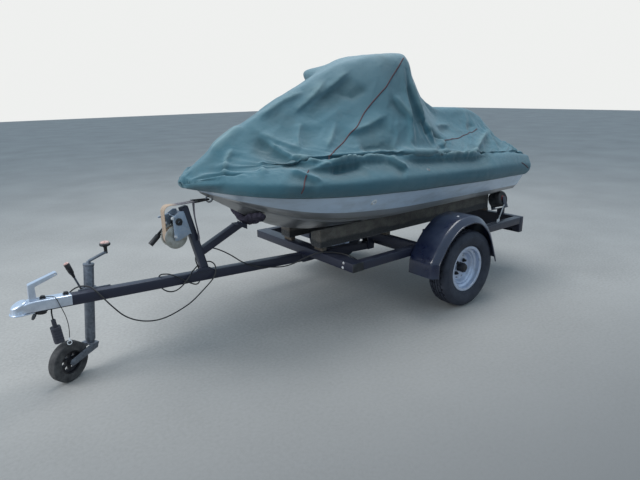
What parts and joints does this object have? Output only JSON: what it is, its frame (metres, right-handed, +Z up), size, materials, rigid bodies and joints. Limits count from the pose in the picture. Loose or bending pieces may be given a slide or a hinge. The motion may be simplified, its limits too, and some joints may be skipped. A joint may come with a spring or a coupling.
{
  "type": "personal watercraft on a road trailer",
  "caption": "Small sit-on personal watercraft under a fitted canvas cover, strapped to its single-axle road trailer with winch, coupling and jockey wheel.",
  "frame": {"origin": "on the ground, under the middle of the whole trailer's length and width", "axes": "+X forward to the coupling, +Y to port, +Z up"},
  "size_m": [3.354, 1.4, 1.522],
  "materials": {
    "gelcoat": "glossy",
    "canvas": "woven canvas",
    "frame_paint": "blue-black brushed paint",
    "jet_metal": "cast",
    "steel": "brushed",
    "galvanised": "dull galvanised",
    "zinc": "bright zinc",
    "black_plastic": "matt",
    "lamp_red": "glossy",
    "carpet": "worn carpet",
    "wheel_silver": "silver paint",
    "hub_black": "black paint",
    "tyre": "rubber",
    "guard_plastic": "glossy",
    "stop_rubber": "rubber",
    "winch_grey": "grey-blue paint",
    "webbing": "worn webbing",
    "hub_red": "matt",
    "stay_white": "white paint",
    "cable_black": "rubber"
  },
  "bodies": {
    "wheel_left": {"tyre_left": "tyre", "rim_left": "wheel_silver", "hub_left": "hub_black"},
    "wheel_right": {"tyre_right": "tyre", "rim_right": "wheel_silver", "hub_right": "hub_black"},
    "jockey_leg": {"jockey_stem": "galvanised"},
    "jockey_swivel": {"jockey_fork": "galvanised"},
    "jockey_wheel": {"jockey_tyre": "stop_rubber", "jockey_hub": "hub_black"},
    "jet_nozzle": {"steering_nozzle": "jet_metal"},
    "stern_roller_left": {"roller_left": "stop_rubber", "roller_hub_left": "hub_red"},
    "stern_roller_right": {"roller_right": "stop_rubber", "roller_hub_right": "hub_red"},
    "frame": {"axle_beam": "frame_paint", "bow_eye": "steel", "bow_stop_brace": "frame_paint", "bow_stop_pad": "stop_rubber", "breakaway_cable": "cable_black", "bunk_left": "carpet", "bunk_packers": "galvanised", "bunk_right": "carpet", "coupling": "zinc", "coupling_handle": "zinc", "cover": "canvas", "drawbar": "frame_paint", "drawbar_brackets": "frame_paint", "end_caps": "black_plastic", "engine_block": "jet_metal", "front_crossmember": "frame_paint", "hull": "gelcoat", "jet_drive": "jet_metal", "jockey_clamp": "galvanised", "jockey_crank": "black_plastic", "jockey_tube": "galvanised", "mid_crossmember": "frame_paint", "mudguard_brackets": "frame_paint", "mudguard_left": "guard_plastic", "mudguard_right": "guard_plastic", "plug_holder": "black_plastic", "rear_crossmember": "frame_paint", "roller_brackets": "frame_paint", "roller_stays": "stay_white", "side_drains": "black_plastic", "side_rail_left": "frame_paint", "side_rail_right": "frame_paint", "strap_hook": "steel", "tail_lamps": "lamp_red", "trailer_plug": "black_plastic", "trailing_arm_left": "frame_paint", "trailing_arm_right": "frame_paint", "winch_crank": "winch_grey", "winch_drum": "zinc", "winch_frame": "winch_grey", "winch_post": "frame_paint", "winch_strap": "webbing", "wiring_cable": "cable_black"}
  },
  "joints": [
    {"name": "wheel_left_spin", "type": "hinge", "parent": "frame", "child": "wheel_left", "pos_m": [-0.727, 0.6125, 0.243], "axis": [0, 1, 0], "continuous": true},
    {"name": "wheel_right_spin", "type": "hinge", "parent": "frame", "child": "wheel_right", "pos_m": [-0.727, -0.6125, 0.243], "axis": [0, 1, 0], "continuous": true},
    {"name": "jockey_slide", "type": "slide", "parent": "frame", "child": "jockey_leg", "axis": [0.1089, 0, -0.9941], "range_m": [0, 0.2]},
    {"name": "jockey_swivel", "type": "hinge", "parent": "jockey_leg", "child": "jockey_swivel", "pos_m": [1.3491, -0.0612, 0.14108], "axis": [-0.1089, 0, 0.9941], "continuous": true},
    {"name": "jockey_wheel_spin", "type": "hinge", "parent": "jockey_swivel", "child": "jockey_wheel", "pos_m": [1.47078, 0.00077, 0.1006], "axis": [-0.4667, 0.8829, -0.0511], "continuous": true},
    {"name": "nozzle_steer", "type": "hinge", "parent": "frame", "child": "jet_nozzle", "pos_m": [-1.549, 0, 0.574], "axis": [0, 0, 1], "range_deg": [-20, 20]},
    {"name": "roller_left_spin", "type": "hinge", "parent": "frame", "child": "stern_roller_left", "pos_m": [-1.575, 0.295, 0.51205], "axis": [0, 0.9496, 0.3133], "continuous": true},
    {"name": "roller_right_spin", "type": "hinge", "parent": "frame", "child": "stern_roller_right", "pos_m": [-1.575, -0.295, 0.51205], "axis": [0, 0.9496, -0.3133], "continuous": true}
  ]
}
